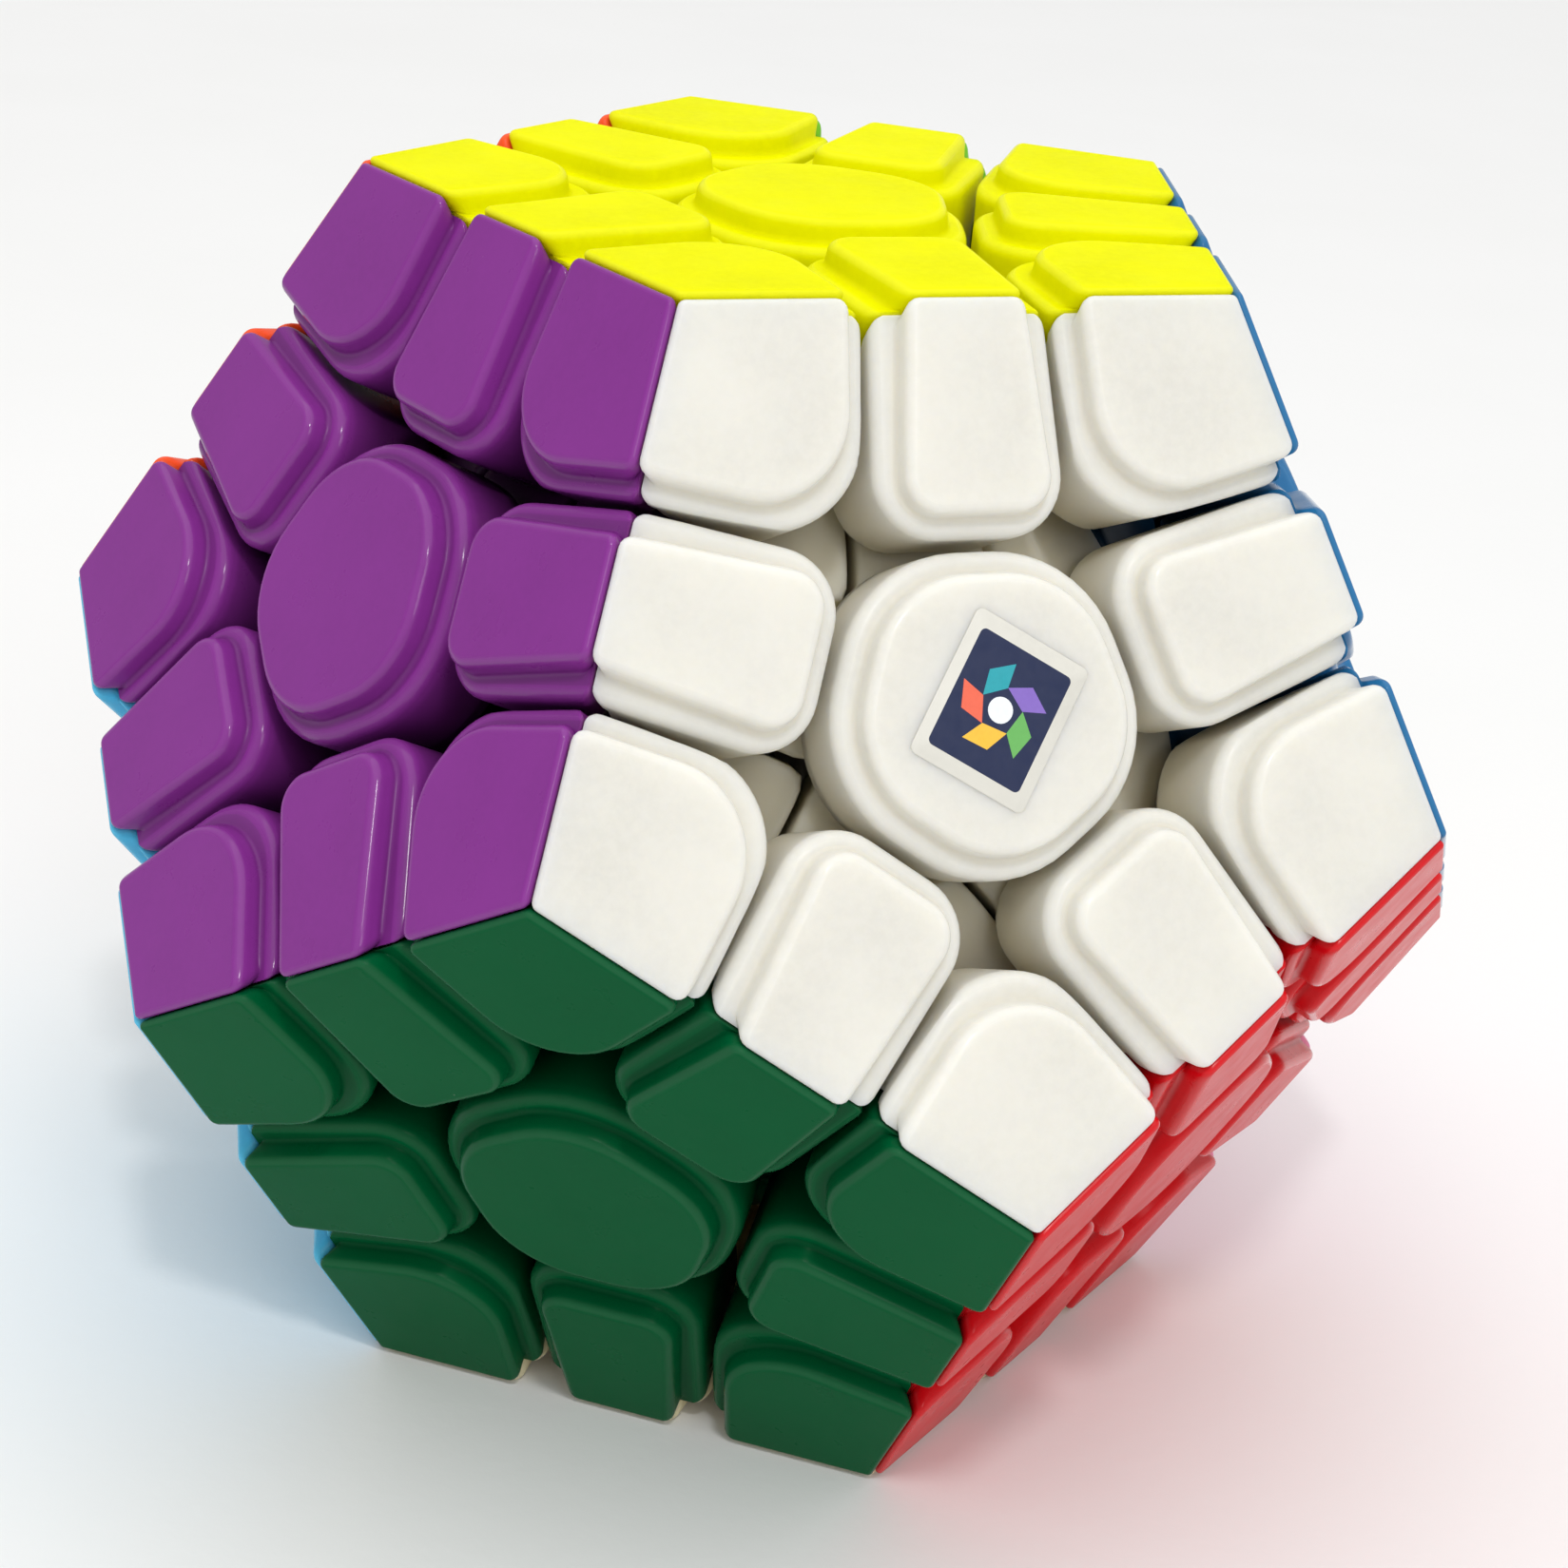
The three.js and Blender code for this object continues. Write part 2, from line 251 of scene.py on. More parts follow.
# top and body are the outlines of the raised facelet and of the ledge below it, as draw takes
# them. hub is the point that a ring is pulled toward: its distance from the face's axis at the
# face and at the end of the neck, and its direction in degrees. own are the faces whose layers
# hold the piece, others the neighbours that pass it.
KINDS = {
    "corner": dict(draw=corner_outline, top=(8.9, 4.6, 3.5), body=(10.05, 5.0, 3.5),
                   hub=(19.3, 15.1, 36), own=(UP, near(0), near(1)), others=()),
    "edge": dict(draw=edge_outline, top=(3.15, 10.95, 1.8, 4.7), body=(4.7, 12.1, 3.2, 2.4),
                 hub=(14.5, 11.4, 0), own=(UP, near(0)), others=(near(1), near(-1))),
    "centre": dict(draw=centre_outline, top=(6.75, 5.4), body=(7.95, 6.6),
                   hub=(0, 0, 0), own=(UP,), others=tuple(near(k) for k in range(5))),
}

# ---- the stepped profile of a piece, from its face down -----------------------------
RIM = 0.54  # rounding of the raised facelet
STEP = 1.3
FIRST_RING = 0.12  # from the rim's start to the innermost ring of the outline
DRAFT = 0.09  # how far the step spreads on its way down
HOLLOW = 0.26  # fillet at the foot of the step
LEDGE = STEP + 0.012  # the ledge starts just below the fillet
SHOULDER = 0.68  # rounding of the ledge's outer rim
SEAM_ROUND = 0.28  # rounding of a colour's edge along the hairline
SEAM_DEEP = 1.5257 * SEAM_ROUND  # where that rounding ends: 1 + the sine of the mitre's lean
SEAM_WEDGE = SEAM_ROUND / math.tan(math.radians(29.14))  # a quarter of the angle between faces
SEAM_LOSS = 0.1  # how much wider the hairline is at the ledge
WALL_SEAM = 2.4  # below this depth the other colour's plane limits a shell, not its outline
WALL_LOW, WALL_ROUND = 7.55, 0.35  # lower rim of a wall
WALL_END = 7.9
NECK = 1.5  # how far the neck stands in from the wall
NECK_END = 12.6


def profile():
    """Rows of depth, 0 raised facelet or 1 body, outward growth, and a mark for the shader: 1 on
    rubbed rims, paled as worn plastic and as a painted highlight, down to -1 deep in the hollows,
    which get painted shade.
    """
    rows = [(0.0, 0, -RIM - FIRST_RING, 0)]
    # the rim's rounding is marked as rubbed: paled a little, partly as worn plastic and partly as a
    # painted highlight
    for a, wear_and_shading in ((0, 0), (13, 0.5), (27, 1), (42, 1), (58, 0.8), (76, 0.3)):
        a = math.radians(a)
        rows.append((RIM * (1 - math.cos(a)), 0, RIM * (math.sin(a) - 1), wear_and_shading))
    fillet = STEP - HOLLOW
    # the fillet at the step's foot and the ledge's inner edge are marked for painted shade
    rows += [(0.66, 0, 0.02, 0), (fillet - 0.06, 0, 0.07, -0.2)]
    for a in (12, 34, 60, 84):
        a = math.radians(a)
        spread = DRAFT + HOLLOW * (1 - math.cos(a))
        rows.append((fillet + HOLLOW * math.sin(a), 0, spread, -0.42))
    rows += [(LEDGE, 1, -SHOULDER - 0.05, -0.3)]
    # the shoulder's rounding is marked the same way: worn plastic and painted highlight
    for a, wear_and_shading in ((4, 0), (17, 0.4), (31, 0.8), (46, 0.9), (62, 0.5), (80, 0)):
        a = math.radians(a)
        rows.append((LEDGE + SHOULDER * (1 - math.cos(a)), 1, SHOULDER * (math.sin(a) - 1), wear_and_shading))
    # the walls are marked for painted shade that darkens the deeper they go
    walls = ((LEDGE + SHOULDER + 0.03, 0), (2.5, -0.35), (4.2, -0.75), (6.0, -1))
    return rows + [(depth, 1, 0.0, wear_and_shading) for depth, wear_and_shading in walls]


def deep_rows():
    """Rows of depth and outward growth: the lower rim of the wall, and the neck to the foot."""
    rows = [(WALL_LOW - 0.15, 0.0)]
    for a in (25, 55, 85):
        a = math.radians(a)
        rows.append((WALL_LOW + WALL_ROUND * math.sin(a), WALL_ROUND * (math.cos(a) - 1)))
    rows.append((WALL_END, -NECK + 0.25))
    return rows + [(depth, -NECK) for depth in (WALL_END + 0.12, 9.4, 11.0, NECK_END)]


def seam_at(depth):
    """How far the colour stops short of the dodecahedron's edge, at this depth."""
    if depth < SEAM_DEEP:
        return SEAM + SEAM_WEDGE - math.sqrt(SEAM_ROUND**2 - (depth - SEAM_ROUND) ** 2)
    worn = SEAM_LOSS * max(0.0, 1 - abs(depth - STEP - 0.03) / 0.16)
    return SEAM + MITRE * depth + worn


# ---- mesh building ----------------------------------------------------------------
SHARP = 48  # degrees between two faces, from where their edge is shown sharp


def loft(rings, first, last):
    """Closed mesh through rings of equal count, capped by fans round first and last."""
    k, n = rings.shape[:2]
    verts = np.concatenate((rings.reshape(-1, 3), [first, last]))
    i = np.arange(n)
    j = (i + 1) % n
    faces = [np.column_stack((np.full(n, k * n), i, j))]
    quads = [np.column_stack((r * n + i, (r + 1) * n + i, (r + 1) * n + j, r * n + j))
             for r in range(k - 1)]
    faces.append(np.column_stack((np.full(n, k * n + 1), (k - 1) * n + j, (k - 1) * n + i)))
    return verts, [f for block in (faces[0], *quads, faces[1]) for f in block.tolist()]


def joined(parts):
    """One mesh of several; a part that gives no mark for the painted highlight and painted shade
    gets 0.
    """
    verts, faces, wear_and_shading, start = [], [], [], 0
    for v, f, *rim_and_hollow_marks in parts:
        verts.append(v)
        faces += [[i + start for i in face] for face in f]
        start += len(v)
        wear_and_shading.append(np.resize(rim_and_hollow_marks[0], len(v)) if rim_and_hollow_marks else np.zeros(len(v)))
    return np.concatenate(verts), faces, np.concatenate(wear_and_shading)


def shell(kind):
    """One colour of one piece, in the frame of its face."""
    spec = KINDS[kind]
    far, painted_hollow_colour, turn = spec["hub"]
    turn = math.radians(turn)
    mitres = spec["own"][1:]

    def hub(depth):
        r = far + (painted_hollow_colour - far) * depth / NECK_END
        return np.array((r * math.cos(turn), r * math.sin(turn), FACE_R - depth))

    def ring(depth, size, grow, seam, limits):
        """The outline at this depth, pulled in where the piece has no room."""
        flat = spec["draw"](*spec[size], grow, seam)
        points = np.column_stack((flat, np.full(len(flat), FACE_R - depth)))
        return pull_in(points, hub(depth), lambda p: room(p, spec["own"], spec["others"], limits))

    rings, wear_and_shading = [], []
    for depth, q, grow, mark in profile():
        wear_and_shading.append(mark)
        seam = seam_at(min(depth, WALL_SEAM)) + (0 if rings else FIRST_RING)
        limits = mitres if depth > WALL_SEAM else ()
        rings.append(ring(depth, "body" if q else "top", grow, seam, limits))
    face = [hub(0) + (rings[0] - hub(0)) * s for s in (0.3, 0.6, 0.85)]
    if kind == "centre":
        rings += stem_rings(rings[-1])
        end = np.array((0, 0, WELL_TOP))
    else:
        rings += [ring(depth, "body", grow, seam_at(WALL_SEAM), mitres)
                  for depth, grow in deep_rows()]
        end = hub(NECK_END)
    # the face fill is unmarked; the deep rows of a corner or edge and the stem of a centre get -1,
    # the darkest painted shade
    wear_and_shading = [0] * len(face) + wear_and_shading + [-1] * (len(rings) - len(wear_and_shading))
    return (*loft(np.array(face + rings), hub(0), end), np.repeat(wear_and_shading, len(rings[0])))


# share of the cap's outline and height, round the lower rim of a centre's cap
UNDER_CAP = [(1.0, 27.95), (0.985, 27.72), (0.95, 27.6)]
# height and radius, from the cap down the outside of the stem, then up its bore and its well
STEM = [(27.62, 6.2), (27.5, 5.75), (26.9, 5.58), (22.5, 4.6), (17.6, 3.56), (17.35, 3.42),
        (17.3, 3.2), (17.3, 1.95), (17.4, 1.8), (20.3, 1.8), (20.55, 1.85), (20.6, 2.1),
        (20.6, 2.8), (20.75, 3.0), (24.0, 3.0), (29.6, 3.0), (29.9, 2.9), (30.0, 2.6)]
WELL_TOP = 30.0


def stem_rings(above):
    """The underside of a centre's cap, its stem, and the bore and well inside the stem."""
    ring = above[:, :2] / np.linalg.norm(above[:, :2], axis=1)[:, None]
    flats = [(above[:, :2] * share, z) for share, z in UNDER_CAP]
    flats += [(ring * r, z) for z, r in STEM]
    return [np.column_stack((flat, np.full(len(flat), z))) for flat, z in flats]


# radius from the core, share of the foot's width, and how far in from its side
FOOT_ROWS = [(FOOT_LOW, 0.3, 0), (FOOT_LOW, 0.7, 0), (FOOT_LOW, 1, 0.35), (20.1, 1, 0.1),
             (20.35, 1, 0), (22.5, 1, 0), (24.6, 1, 0), (26.2, 1, 0), (26.42, 1, 0.05),
             (26.58, 1, 0.17), (FOOT_HIGH, 1, 0.4), (FOOT_HIGH, 0.8, 0.4), (FOOT_HIGH, 0.45, 0.4)]
FOOT_SIDES = 48
FOOT_AT = {"corner": (29, 36), "edge": (22, 0)}  # degrees off the face's axis, and round it
FOOT_MOST = 1.2  # widest angle that is looked at, from the foot's middle
FOOT_POWER = 12  # the higher, the sharper the foot's corners


def foot(kind):
    """The hidden foot of one colour, between two balls, held by the cones of the layers."""
    spec = KINDS[kind]
    lean, turn = (math.radians(angle) for angle in FOOT_AT[kind])
    out = np.array((math.cos(turn), math.sin(turn), 0))
    hub = math.sin(lean) * out + math.cos(lean) * UP
    side = np.cross(UP, out)
    t = 2 * math.pi * np.arange(FOOT_SIDES) / FOOT_SIDES
    way = np.outer(np.cos(t), np.cross(side, hub)) + np.outer(np.sin(t), side)
    tests = [lambda p, n=n: foot_room(p, n) - HALF_GAP for n in spec["own"]]
    tests += [lambda p, n=n: -foot_room(p, n) - HALF_GAP for n in spec["others"]]
    tests += [lambda p, n=n: mitre_room(p, n) for n in spec["own"][1:]]

    def reach(radius):
        angles = []
        for test in tests:
            low, high = np.zeros(FOOT_SIDES), np.full(FOOT_SIDES, FOOT_MOST)
            for _ in range(HALVINGS):
                mid = (low + high) / 2
                p = radius * (np.cos(mid)[:, None] * hub + np.sin(mid)[:, None] * way)
                ok = test(p) >= 0
                low, high = np.where(ok, mid, low), np.where(ok, high, mid)
            angles.append(np.maximum(low, 1e-3))
        return (np.array(angles) ** -FOOT_POWER).sum(0) ** (-1 / FOOT_POWER)

    rings = []
    for radius, share, inset in FOOT_ROWS:
        a = (reach(radius) - inset / radius) * share
        rings.append(radius * (np.cos(a)[:, None] * hub + np.sin(a)[:, None] * way))
    # the whole foot gets -1, the darkest painted shade
    return (*loft(np.array(rings[::-1]), hub * FOOT_HIGH, hub * FOOT_LOW), np.array([-1.0]))


def lathe(rows, sides=40):
    """Solid of revolution about Z; rows are (z, r) downwards, and both ends close on the axis."""
    t = 2 * math.pi * np.arange(sides) / sides
    ring = np.column_stack((np.cos(t), np.sin(t)))
    rings = [np.column_stack((ring * r, np.full(sides, z))) for z, r in rows]
    return loft(np.array(rings), (0, 0, rows[0][0]), (0, 0, rows[-1][0]))


def tube_ring(rows, sides=40):
    """Ring of revolution about Z whose section is the closed loop rows of (z, r)."""
    t = 2 * math.pi * np.arange(sides) / sides
    k = len(rows)
    verts = np.array([(r * math.cos(a), r * math.sin(a), z) for a in t for z, r in rows])
    faces = [[s * k + i, s * k + (i + 1) % k, (s + 1) % sides * k + (i + 1) % k,
              (s + 1) % sides * k + i] for s in range(sides) for i in range(k)]
    return verts, faces


def add_mesh(name, verts, faces, materials, body, slot, replaces=(), wear_and_shading=None, choose=None,
             sharp=SHARP):
    mesh = bpy.data.meshes.new(name)
    mesh.from_pydata((np.asarray(verts) * MM).tolist(), [], faces)
    for m in materials:
        mesh.materials.append(m)
    if choose is not None:
        mesh.polygons.foreach_set("material_index", choose)
    if wear_and_shading is not None:
        rim_and_hollow_marks = mesh.attributes.new("wear_and_shading", "FLOAT", "POINT")
        rim_and_hollow_marks.data.foreach_set("value", np.asarray(wear_and_shading, np.float32))
    mesh.shade_smooth()
    mesh.set_sharp_from_angle(angle=math.radians(sharp))
    piece = bpy.data.objects.new(name, mesh)
    scene.collection.objects.link(piece)
    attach(piece, body)
    for node in replaces:
        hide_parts(node)


# ---- materials ------------------------------------------------------------------------
def srgb(r, g, b):
    def lin(c):
        c /= 255
        return c / 12.92 if c <= 0.04045 else ((c + 0.055) / 1.055) ** 2.4

    return lin(r), lin(g), lin(b), 1


class Nodes:
    """Short names for the calls that a node tree takes."""

    def __init__(self, name):
        self.material = bpy.data.materials.new(name)
        self.material.use_nodes = True
        self.tree = self.material.node_tree
        self.shader = self.tree.nodes["Principled BSDF"]
        self.where = self.add("ShaderNodeTexCoord").outputs["Object"]

    def add(self, kind, **values):
        node = self.tree.nodes.new(kind)
        for key, value in values.items():
            setattr(node, key, value)
        return node

    def link(self, a, b):
        self.tree.links.new(a, b)

    def noise(self, size, detail=2.0, rough=0.5):
        n = self.add("ShaderNodeTexNoise")
        n.inputs["Scale"].default_value = 1 / (size * MM)
        n.inputs["Detail"].default_value = detail
        n.inputs["Roughness"].default_value = rough
        self.link(self.where, n.inputs["Vector"])
        return n.outputs["Fac"]

    def feed(self, value, socket):
        """Sets a socket to a plain value, or links it to another node's output."""
        if isinstance(value, (int, float, tuple)):
            socket.default_value = value
        else:
            self.link(value, socket)

    def span(self, value, low, high, to_low, to_high):
        n = self.add("ShaderNodeMapRange")
        for key, v in zip(("Value", "From Min", "From Max", "To Min", "To Max"),
                          (value, low, high, to_low, to_high)):
            self.feed(v, n.inputs[key])
        return n.outputs["Result"]

    def mix(self, share, a, b):
        n = self.add("ShaderNodeMix", data_type="RGBA")
        for key, v in (("Factor", share), (6, a), (7, b)):
            self.feed(v, n.inputs[key])
        return n.outputs[2]

    def bump(self, height, depth, strength=1.0, after=None):
        n = self.add("ShaderNodeBump")
        n.inputs["Distance"].default_value = depth * MM
        n.inputs["Strength"].default_value = strength
        self.link(height, n.inputs["Height"])
        if after is not None:
            self.link(after, n.inputs["Normal"])
        return n.outputs["Normal"]


def tint(colour, k):
    return tuple(min(1, c * k) for c in colour[:3]) + (1,)


def toward(colour, level, share):
    """The colour, moved this share of the way to a grey of this level."""
    return tuple(c + (level - c) * share for c in colour[:3]) + (1,)


def dust(n):
    """Share of lint: a few small specks, in patches."""
    cells = n.add("ShaderNodeTexVoronoi")
    cells.inputs["Scale"].default_value = 1 / (1.7 * MM)
    n.link(n.where, cells.inputs["Vector"])
    speck = n.span(cells.outputs["Distance"], 0.025, 0.045, 0.35, 0)
    patch = n.span(n.noise(5, 2), 0.62, 0.66, 0, 1)
    both = n.add("ShaderNodeMath", operation="MULTIPLY")
    n.link(patch, both.inputs[0])
    n.link(speck, both.inputs[1])
    return both.outputs[0]


HOLLOW_SHADE = 0.12  # painted shade: the hollows of a dense colour are darkened to this share of its face colour
MILKY_HOLLOW_LIGHT = (1.17, 1.11, 0.96)  # painted light: the hollows of a milky plastic are brightened and warmed to these shares of its face colour, standing in for light scattered through it
SCATTER = (1.0, 0.9, 0.7)  # how far red, green and blue light goes inside, of SCATTER_DEPTH
SCATTER_DEPTH = 2.2


def plastic(name, colour, low, high, gloss=0.12, milky=0.0, grain=0.001):
    """Moulded plastic: slight colour drift, fine grain, dust, smooth rubbed rims that are paled as
    worn plastic and as a painted highlight, and hollows darkened as painted shade; in milky plastic
    the hollows are brightened and warmed as painted light instead.
    """
    n = Nodes(name)
    shader = n.shader.inputs
    if milky:
        shader["Subsurface Weight"].default_value = milky
        shader["Subsurface Radius"].default_value = SCATTER
        shader["Subsurface Scale"].default_value = SCATTER_DEPTH * MM
    drift = n.span(n.noise(7, 3), 0.3, 0.7, 0, 1)
    base = n.mix(drift, tint(colour, 0.95), tint(colour, 1.05))
    mottle = n.span(n.noise(0.5, 3, 0.6), 0.35, 0.65, 0, 0.35)
    base = n.mix(mottle, base, tint(colour, 1.08))
    rim_and_hollow_marks = n.add("ShaderNodeAttribute", attribute_name="wear_and_shading").outputs["Fac"]
    # rubbed rims paled toward white: partly worn plastic, partly a painted highlight
    base = n.mix(n.span(rim_and_hollow_marks, 0.2, 1, 0, 0.06), base, toward(colour, 1, 0.25))
    # painted shade: the hollows are mixed toward a share of the face colour, dark for dense plastic;
    # for milky plastic that share is painted light, brighter and warmer than the face
    tints = MILKY_HOLLOW_LIGHT if milky else (HOLLOW_SHADE,) * 3
    painted_hollow_colour = tuple(c * k for c, k in zip(colour, tints)) + (1,)
    base = n.mix(n.span(rim_and_hollow_marks, -0.3 if milky else -0.1, -1, 0, 0.85), base, painted_hollow_colour)
    base = n.mix(dust(n), base, toward(colour, 0.8, 0.6))
    n.link(base, shader["Base Color"])
    rubbed = n.span(rim_and_hollow_marks, 0.2, 1, 0, 1)
    satin = n.span(n.noise(2.2, 4, 0.6), 0.3, 0.7, low, high)
    n.link(n.span(rubbed, 0, 1, satin, 0.4 * low), shader["Roughness"])
    wave = n.bump(n.noise(6, 1), 0.05)
    n.link(n.bump(n.noise(0.11, 2, 0.6), grain, 1.0, wave), shader["Normal"])
    shader["Specular IOR Level"].default_value = gloss
    return n.material


def metal(name, colour, rough):
    n = Nodes(name)
    n.shader.inputs["Metallic"].default_value = 1
    n.link(n.mix(n.noise(0.8, 4), tint(colour, 0.85), tint(colour, 1.1)),
           n.shader.inputs["Base Color"])
    n.link(n.span(n.noise(0.3, 3), 0.3, 0.7, rough * 0.8, rough * 1.3),
           n.shader.inputs["Roughness"])
    n.link(n.bump(n.noise(0.15, 2), 0.004), n.shader.inputs["Normal"])
    return n.material


PLASTICS = {  # colour, lowest and highest roughness, gloss, milkiness
    "yellow": ((224, 224, 0), 0.36, 0.46, 0.01, 0.6),
    "white": ((222, 220, 212), 0.3, 0.4, 0.2, 0.75),
    "blue": ((36, 108, 158), 0.26, 0.36, 0.18, 0),
    "lime": ((122, 196, 44), 0.26, 0.36, 0.15, 0),
    "orange": ((240, 84, 38), 0.26, 0.36, 0.15, 0),
    "purple": ((128, 45, 137), 0.26, 0.36, 0.2, 0),
    "red": ((206, 8, 20), 0.26, 0.36, 0.17, 0),
    "pink": ((242, 152, 184), 0.26, 0.36, 0.15, 0),
    "grey": ((128, 132, 137), 0.26, 0.36, 0.15, 0),
    "lightblue": ((84, 186, 224), 0.26, 0.36, 0.15, 0),
    "green": ((0, 85, 46), 0.26, 0.36, 0.045, 0),
    "beige": ((230, 216, 176), 0.32, 0.44, 0.1, 0.35),
}
skins = {name: plastic(name + "_plastic", srgb(*rgb), *rest)
         for name, (rgb, *rest) in PLASTICS.items()}
core_skin = plastic("core_plastic", srgb(214, 208, 190), 0.4, 0.55)
steel = metal("steel", srgb(196, 196, 200), 0.28)
spring_steel = metal("spring_steel", srgb(168, 170, 176), 0.22)

# ---- the 132 coloured shells --------------------------------------------------------------
BODIES = {node: body for body, nodes in frame["record"]["behaviour"]["bodies"].items()
          for node in nodes}


def stand(mesh, name, a, b, node):
    """One colour of a piece: the mesh turned to face a, with its edge beside face b."""
    verts, faces, wear_and_shading = mesh
    colour = FACES[a]
    add_mesh(name, verts @ basis(a, b).T, faces, [skins[colour]], BODIES[node],
             colour + "_plastic", [node], wear_and_shading)


def label_of(faces):
    return "_".join(FACES[i] for i in sorted(faces))


corner_mesh = joined([shell("corner"), foot("corner")])
edge_mesh = joined([shell("edge"), foot("edge")])
centre_mesh = joined([shell("centre")])

for a in range(12):
    node = "centre_" + FACES[a]
    stand(centre_mesh, node + ".cap", a, first_beside(a), node)

for a in range(12):
    for b in range(a + 1, 12):
        if not beside(a, b):
            continue
        name = "edge_" + label_of((a, b))
        node = name if b != BOTTOM else "centre_" + FACES[a]  # these share a node with a centre
        for p, q in ((a, b), (b, a)):
            stand(edge_mesh, f"{name}.{FACES[p]}", p, q, node)

for a in range(12):
    for b in range(a + 1, 12):
        for c in range(b + 1, 12):
            if not (beside(a, b) and beside(b, c) and beside(a, c)):
                continue
            node = "corner_" + label_of((a, b, c))
            turning = NORMALS[a] @ np.cross(NORMALS[b], NORMALS[c]) > 0
            p, q, r = (a, b, c) if turning else (a, c, b)
            for s, t in ((p, q), (q, r), (r, p)):
                stand(corner_mesh, f"{node}.{FACES[s]}", s, t, node)

# ---- core, screws, springs and washers ---------------------------------------------------
BALL = 11.5


# height and radius, down one arm of the core
ARM = [(17.0, 1.4), (17.0, 2.6), (16.9, 2.88), (16.6, 3.0), (13.4, 3.0), (12.2, 3.15),
       (11.6, 3.5), (11.2, 4.1), (10.4, 4.2), (6.0, 3.0)]


def core_mesh():
    ball = [(BALL * math.cos(a), BALL * math.sin(a))
            for a in np.linspace(0.04, math.pi - 0.04, 34)]
    verts, faces = lathe(ARM)
    arms = [(verts @ basis(i, first_beside(i)).T, faces) for i in range(12)]
    return joined([lathe(ball, 64), *arms])


verts, faces, _ = core_mesh()
add_mesh("core_ball", verts, faces, [core_skin], "core", "core_plastic", ["core"])

# height and radius from the recess in the head down to the thread's end
SCREW = [(28.5, 0.2), (28.45, 0.5), (28.42, 0.52), (28.85, 0.56), (28.9, 0.62), (28.88, 1.4),
         (28.7, 2.05), (28.4, 2.32), (28.1, 2.4), (27.2, 2.4), (27.05, 2.34), (27.0, 2.2),
         (27.0, 1.45), (26.9, 1.32), (18.2, 1.32), (8.4, 1.3), (8.0, 1.0)]
# height and radius round the section of a washer
WASHER = [(26.95, 1.5), (26.98, 1.55), (26.98, 2.35), (26.93, 2.42), (26.75, 2.42),
          (26.7, 2.35), (26.7, 1.55), (26.74, 1.5)]


def spring_mesh(low=20.68, high=26.6, radius=2.05, wire=0.26, turns=6.5, sides=10):
    """A coil whose end turns lie closer together than its middle ones."""
    steps = int(turns * 28)
    t = np.linspace(0, 1, steps + 1)
    ease = t - np.sin(2 * math.pi * t) / (2 * math.pi) * 0.55
    z = low + wire + (high - low - 2 * wire) * ease
    a = 2 * math.pi * turns * t
    out = np.column_stack((np.cos(a), np.sin(a), np.zeros_like(a)))
    path = out * radius + np.outer(z, UP)
    along = np.gradient(path, axis=0)
    along /= np.linalg.norm(along, axis=1)[:, None]
    third = np.cross(along, out)
    k = 2 * math.pi * np.arange(sides) / sides
    rings = path[:, None] + wire * (np.cos(k)[None, :, None] * out[:, None]
                                    + np.sin(k)[None, :, None] * third[:, None])
    return loft(rings, path[0], path[-1])


for i in range(12):
    turn = basis(i, first_beside(i)).T
    for name, (v, f), skin in (("screw_", lathe(SCREW), steel),
                               ("washer_", tube_ring(WASHER), steel),
                               ("spring_", spring_mesh(), spring_steel)):
        add_mesh(name + FACES[i], v @ turn, f, [skin], "core", "core_plastic",
                 ["core"] if name == "screw_" else ())

# ---- label on the white centre ---------------------------------------------------------------
LABEL_TURN = math.radians(-32)
FILM = (0.01, 0.05)  # underside and top of the label's film, over the face
FILM_SIZE = (3.3, 4.0, 0.4)  # half the width, half the height, and the corners' rounding
PRINT_SIZE = (2.66, 3.2, 0.3)
BLADES_REACH = 2.5
DISC = 0.66
INKS = {"ink_navy": (24, 36, 72), "ink_pale": (232, 236, 240), "ink_teal": (38, 158, 170),
        "ink_coral": (232, 104, 78), "ink_gold": (240, 188, 62), "ink_leaf": (104, 176, 92),
        "ink_violet": (132, 104, 190)}


def slab(points, low, high, rim=0.006):
    """Thin flat solid with an eased upper edge, over a convex outline."""
    hub = points.mean(0)

    def ring(z, inset):
        d = points - hub
        return np.column_stack((hub + d * (1 - inset / np.linalg.norm(d, axis=1))[:, None],
                                np.full(len(d), z)))

    rings = np.array([ring(high, rim), ring(high - rim / 2, 0), ring(low, 0)])
    return loft(rings, (*hub, high), (*hub, low))


def oblong(wide, tall, corner, arc=8):
    lines = [(math.pi / 2 * k, tall if k % 2 else wide) for k in range(4)]
    return outline(lines, [corner] * 4, [arc] * 4, [3] * 4)


def print_parts():
    """A dark ground, a ring of five coloured blades and a pale disc in the middle."""
    yield "ink_navy", slab(oblong(*PRINT_SIZE), FILM[1] - 0.01, FILM[1] + 0.012)
    low, high = FILM[1] + 0.002, FILM[1] + 0.022
    turn = math.radians(7)
    spin = np.array(((math.cos(turn), -math.sin(turn)), (math.sin(turn), math.cos(turn))))
    for k, name in enumerate(("ink_teal", "ink_coral", "ink_gold", "ink_leaf", "ink_violet")):
        a, b = math.radians(90 + 72 * k), math.radians(90 + 72 * (k + 1))
        far = BLADES_REACH * np.array(((math.cos(a), math.sin(a)), (math.cos(b), math.sin(b))))
        inner = 0.46 * far
        blade = np.array([inner[0], far[0] * 0.97, far.mean(0) * 1.02, inner[1] * 1.02])
        yield name, slab(blade @ spin.T, low, high)
    t = 2 * math.pi * np.arange(24) / 24
    yield "ink_pale", slab(DISC * np.column_stack((np.cos(t), np.sin(t))), low, high)


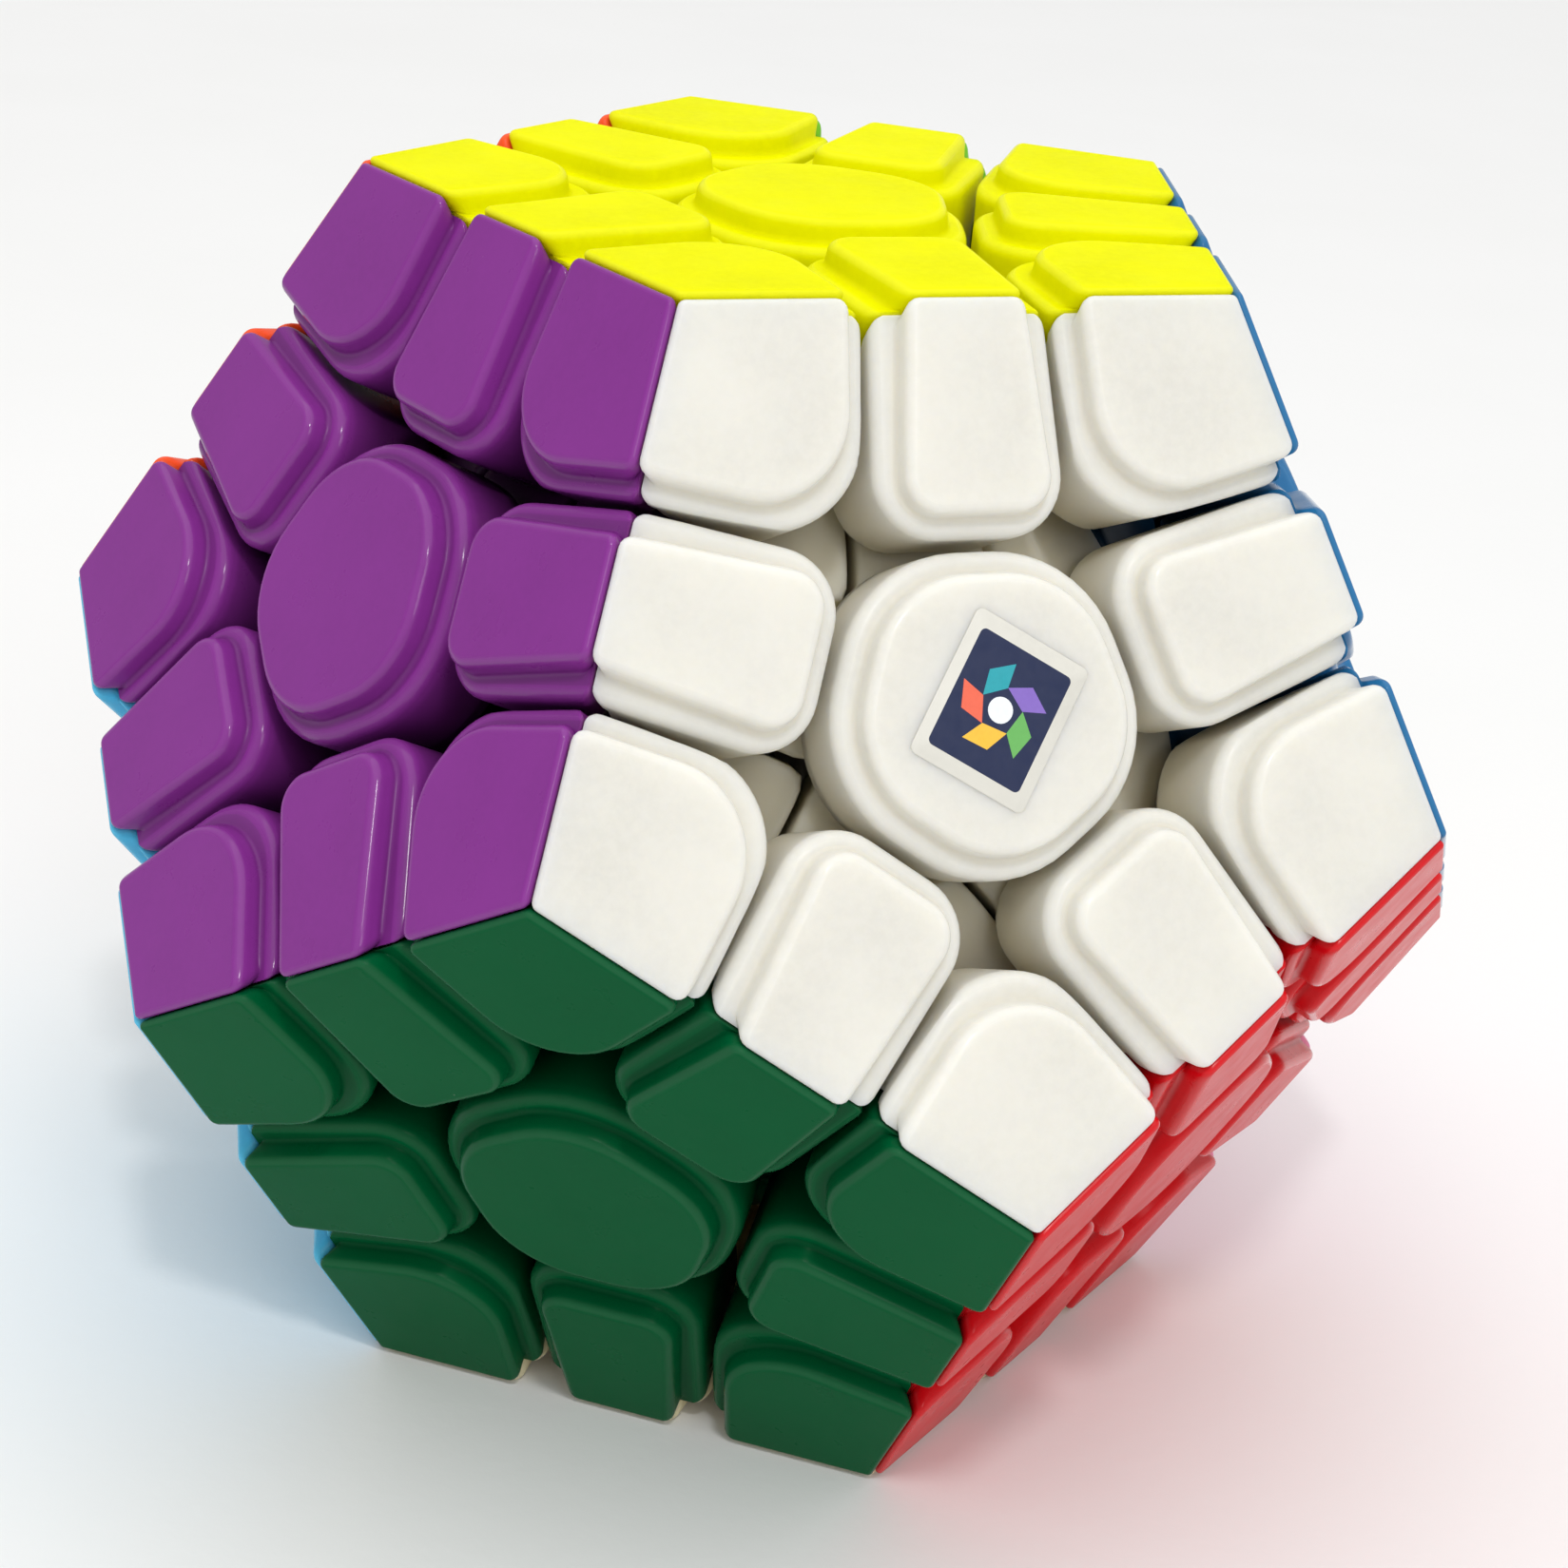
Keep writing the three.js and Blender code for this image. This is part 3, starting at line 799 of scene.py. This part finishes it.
def ink(name, colour):
    n = Nodes(name)
    n.link(n.mix(n.noise(0.25, 3), tint(colour, 0.94), tint(colour, 1.06)),
           n.shader.inputs["Base Color"])
    n.link(n.span(n.noise(0.6, 2), 0.3, 0.7, 0.3, 0.42), n.shader.inputs["Roughness"])
    n.link(n.bump(n.noise(0.1, 1), 0.002), n.shader.inputs["Normal"])
    return n.material


def label_frame():
    x, y, _ = basis(WHITE, TOP).T
    up = math.cos(LABEL_TURN) * x + math.sin(LABEL_TURN) * y
    return np.column_stack((np.cross(up, NORMALS[WHITE]), up, NORMALS[WHITE]))


def on_label(mesh):
    v, f = mesh
    return (v + UP * FACE_R) @ label_frame().T, f


film_skin = plastic("label_film", srgb(214, 212, 203), 0.28, 0.38, 0.12, 0, 0.002)
add_mesh("label_film", *on_label(slab(oblong(*FILM_SIZE), *FILM, 0.05)), [film_skin],
         BODIES["white_label"], "label", ["white_label"])
names, parts = zip(*print_parts())
used = list(dict.fromkeys(names))
v, f, _ = joined(parts)
pick = [used.index(n) for n, (_, faces) in zip(names, parts) for _ in faces]
add_mesh("label_print", *on_label((v, f)), [ink(n, srgb(*INKS[n])) for n in used],
         BODIES["white_label"], "label", ["white_label"], choose=pick, sharp=20)


# ---- floor and light ------------------------------------------------------------------------
FLOOR_HALF = 1.5  # metres


def make_floor():
    size, low = FLOOR_HALF, float(cad_low.z)
    mesh = bpy.data.meshes.new("floor")
    mesh.from_pydata([(-size, -size, low), (size, -size, low), (size, size, low),
                      (-size, size, low)], [], [(0, 1, 2, 3)])
    n = Nodes("floor_paper")
    n.link(n.mix(n.noise(40, 3), (0.83, 0.83, 0.82, 1), (0.86, 0.86, 0.855, 1)),
           n.shader.inputs["Base Color"])
    n.link(n.bump(n.noise(1.2, 4), 0.03), n.shader.inputs["Normal"])
    n.shader.inputs["Roughness"].default_value = 0.75
    mesh.materials.append(n.material)
    floor = bpy.data.objects.new("floor", mesh)
    scene.collection.objects.link(floor)


def area(name, place, size, power):
    """A round lamp, aimed at the origin; place and size are in metres."""
    data = bpy.data.lights.new(name, "AREA")
    data.shape, data.size, data.energy = "DISK", size, power
    lamp = bpy.data.objects.new(name, data)
    lamp.location = place
    lamp.rotation_mode = "QUATERNION"
    lamp.rotation_quaternion = (Vector() - Vector(place)).to_track_quat("-Z", "Y")
    scene.collection.objects.link(lamp)


def make_light():
    world = bpy.data.worlds.new("studio")
    world.use_nodes = True
    background = world.node_tree.nodes["Background"].inputs
    background["Color"].default_value = (1, 1, 1, 1)
    background["Strength"].default_value = 0.55
    scene.world = world
    area("key", (0.0, -0.62, 0.46), 0.3, 0.9)
    area("spark", (-0.104, -0.388, 0.573), 0.06, 0.95)  # the small highlights on the rims
    sky = bpy.data.lights.new("sky", "SUN")  # soft light from above
    sky.energy, sky.angle = 1.4, math.radians(80)
    scene.collection.objects.link(bpy.data.objects.new("sky", sky))


make_floor()
make_light()
scene.view_settings.view_transform = "Standard"
